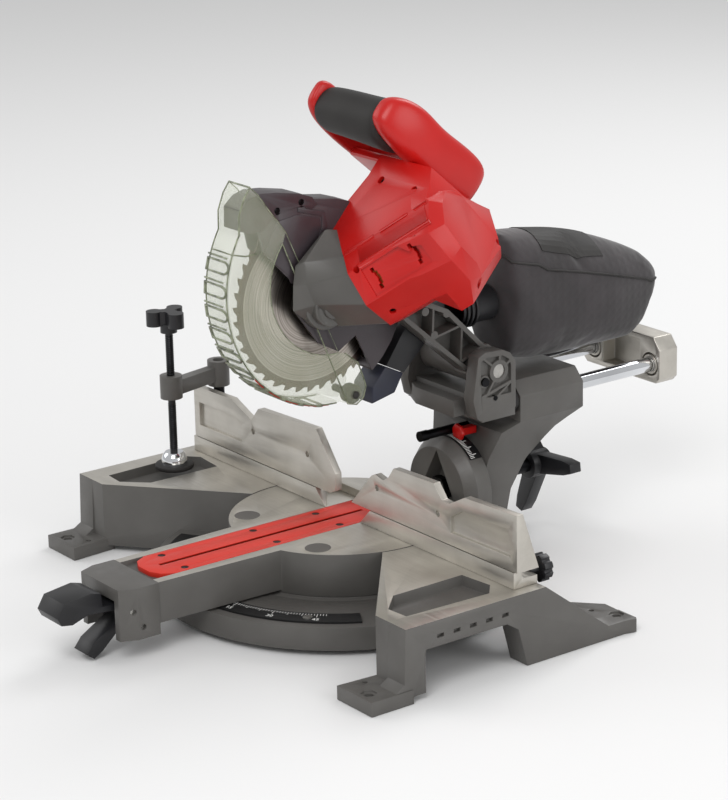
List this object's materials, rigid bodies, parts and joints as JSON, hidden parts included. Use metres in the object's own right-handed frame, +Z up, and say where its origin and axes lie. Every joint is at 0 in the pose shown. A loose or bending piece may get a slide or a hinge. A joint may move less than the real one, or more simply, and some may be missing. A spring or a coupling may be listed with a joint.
{
  "type": "sliding compound mitre saw",
  "caption": "Cordless sliding compound mitre saw on its own four-footed base: turntable, tilting arm, twin rails, raised saw head with guarded blade, sliding fences, work clamp and dust bag.",
  "frame": {"origin": "floor level, in the middle of the rectangle of the four bench bolt holes in the feet", "axes": "+X to the operator's right, +Y from the operator to the back along the rails, +Z up"},
  "size_m": [0.582, 0.762, 0.5138],
  "materials": {
    "cast_grey": "satin painted casting",
    "machined": "machined",
    "dark_plastic": "fine matt",
    "black_rubber": "matt rubber",
    "red_plastic": "satin moulded",
    "kerf_red": "satin moulded",
    "chrome": "polished",
    "steel": "brushed",
    "black_steel": "black oxide",
    "clear": "clear polycarbonate, slightly green",
    "scale_black": "black with white marks",
    "fabric": "woven charcoal",
    "boot_blue": "blue-grey flexible",
    "copper": "windings",
    "inlay_grey": "grey"
  },
  "bodies": {
    "base": {"base_casting": "cast_grey", "lower_fence": "machined", "mitre_scale": "scale_black", "scale_screws": "steel", "mitre_pivot_bolt": "steel", "clamp_post": "black_steel"},
    "table": {"turntable": "cast_grey", "table_inlays": "inlay_grey", "kerf_plate": "kerf_red", "kerf_screws": "black_steel", "lock_box": "cast_grey", "lever_pins": "steel", "bevel_trunnion": "cast_grey", "bevel_scale": "scale_black", "bevel_pivot_bolt": "black_steel", "detent_plunger": "steel"},
    "mitre_lever": {"mitre_lock_lever": "dark_plastic"},
    "detent_lever": {"detent_lever": "dark_plastic"},
    "bevel_arm": {"bevel_arm": "cast_grey", "rail_bushes": "steel", "bevel_pointer": "red_plastic"},
    "bevel_pin": {"bevel_detent_pin": "black_steel"},
    "bevel_knob": {"bevel_lock_knob": "dark_plastic"},
    "carriage": {"carriage": "cast_grey", "carriage_bolts": "black_steel", "slide_rails": "chrome", "rail_end_cap": "cast_grey", "rail_bumpers": "black_rubber", "pivot_shaft": "steel"},
    "head": {"head_arm": "cast_grey", "return_spring": "steel", "gear_case": "cast_grey", "upper_guard": "cast_grey", "guard_screws": "black_steel", "motor_housing": "red_plastic", "handle": "red_plastic", "handle_grip": "black_rubber", "motor_stator": "copper", "spindle_bearing": "steel", "dust_chute": "dark_plastic", "dust_boot": "boot_blue", "dust_port": "dark_plastic"},
    "motor": {"rotor": "steel"},
    "spindle": {"spindle": "steel", "saw_blade": "steel", "blade_flanges": "steel", "blade_bolt": "black_steel"},
    "lower_guard": {"lower_guard": "clear"},
    "guard_roller": {"guard_roller": "black_rubber"},
    "trigger": {"trigger": "dark_plastic"},
    "lock_off": {"lock_off_button": "dark_plastic"},
    "fence_left": {"upper_fence_left": "machined"},
    "fence_right": {"upper_fence_right": "machined"},
    "fence_knob_left": {"fence_knob_left": "dark_plastic"},
    "fence_knob_right": {"fence_knob_right": "dark_plastic"},
    "clamp_arm": {"clamp_arm": "cast_grey"},
    "clamp_screw": {"clamp_screw": "dark_plastic", "clamp_foot": "chrome", "clamp_pad": "black_rubber"},
    "dust_bag": {"dust_bag": "fabric"}
  },
  "joints": [
    {"name": "mitre", "type": "hinge", "parent": "base", "child": "table", "pos_m": [0, 0.017, 0.03], "axis": [0, 0, -1], "range_deg": [-48, 48]},
    {"name": "mitre_lock", "type": "hinge", "parent": "table", "child": "mitre_lever", "pos_m": [0, -0.262, 0.051], "axis": [1, 0, 0], "range_deg": [-20, 0]},
    {"name": "detent_release", "type": "hinge", "parent": "table", "child": "detent_lever", "pos_m": [0, -0.252, 0.034], "axis": [1, 0, 0], "range_deg": [-10, 0], "stiffness_Nm_per_rad": 0.5, "springref_deg": 11.46},
    {"name": "bevel", "type": "hinge", "parent": "table", "child": "bevel_arm", "pos_m": [0, 0.17, 0.075], "axis": [0, -1, 0], "range_deg": [-40, 40]},
    {"name": "bevel_pin_pull", "type": "slide", "parent": "bevel_arm", "child": "bevel_pin", "axis": [0, -1, 0], "range_m": [0, 0.008]},
    {"name": "bevel_lock", "type": "hinge", "parent": "bevel_arm", "child": "bevel_knob", "pos_m": [0, 0.275, 0.075], "axis": [0, 1, 0], "range_deg": [-60, 60]},
    {"name": "rail_slide", "type": "slide", "parent": "bevel_arm", "child": "carriage", "axis": [0, -1, 0], "range_m": [0, 0.1]},
    {"name": "chop", "type": "hinge", "parent": "carriage", "child": "head", "pos_m": [0, 0.175, 0.212], "axis": [1, 0, 0], "range_deg": [0, 41], "stiffness_Nm_per_rad": 16, "springref_deg": -57.3},
    {"name": "blade_spin", "type": "hinge", "parent": "head", "child": "spindle", "pos_m": [0, -0.01403, 0.31007], "axis": [1, 0, 0], "continuous": true},
    {"name": "motor_spin", "type": "hinge", "parent": "head", "child": "motor", "pos_m": [0.034, 0.0029, 0.31125], "axis": [0.6691, 0.4875, 0.5609], "continuous": true},
    {"name": "guard_swing", "type": "hinge", "parent": "head", "child": "lower_guard", "pos_m": [0, 0.00011, 0.33091], "axis": [1, 0, 0], "range_deg": [-105.5, 0]},
    {"name": "roller_spin", "type": "hinge", "parent": "lower_guard", "child": "guard_roller", "pos_m": [0, 0.02441, 0.20643], "axis": [1, 0, 0], "continuous": true},
    {"name": "trigger_pull", "type": "slide", "parent": "head", "child": "trigger", "axis": [0, -0.7547, 0.6561], "range_m": [0, 0.005], "stiffness_N_per_m": 300, "springref_m": -0.003},
    {"name": "lock_off_push", "type": "slide", "parent": "head", "child": "lock_off", "axis": [0, 0.7547, -0.6561], "range_m": [0, 0.0025], "stiffness_N_per_m": 300, "springref_m": -0.002},
    {"name": "fence_left_slide", "type": "slide", "parent": "base", "child": "fence_left", "axis": [-1, 0, 0], "range_m": [0, 0.1]},
    {"name": "fence_right_slide", "type": "slide", "parent": "base", "child": "fence_right", "axis": [1, 0, 0], "range_m": [0, 0.1]},
    {"name": "fence_left_lock", "type": "hinge", "parent": "base", "child": "fence_knob_left", "pos_m": [-0.262, 0.06, 0.084], "axis": [0, 1, 0], "range_deg": [-180, 180]},
    {"name": "fence_right_lock", "type": "hinge", "parent": "base", "child": "fence_knob_right", "pos_m": [0.262, 0.06, 0.084], "axis": [0, 1, 0], "range_deg": [-180, 180]},
    {"name": "clamp_swing", "type": "hinge", "parent": "base", "child": "clamp_arm", "pos_m": [-0.252, 0.037, 0.16], "axis": [0, 0, -1], "range_deg": [-40, 55]},
    {"name": "clamp_feed", "type": "slide", "parent": "clamp_arm", "child": "clamp_screw", "axis": [0, 0, 1], "range_m": [0, 0.059]},
    {"name": "bag_pull", "type": "slide", "parent": "head", "child": "dust_bag", "axis": [0, 0.7071, 0.7071], "range_m": [0, 0.05]}
  ],
  "couplings": [
    {"joint": "guard_swing", "follows": "chop", "ratio": -2.56},
    {"joint": "motor_spin", "follows": "blade_spin", "ratio": -3.4}
  ]
}
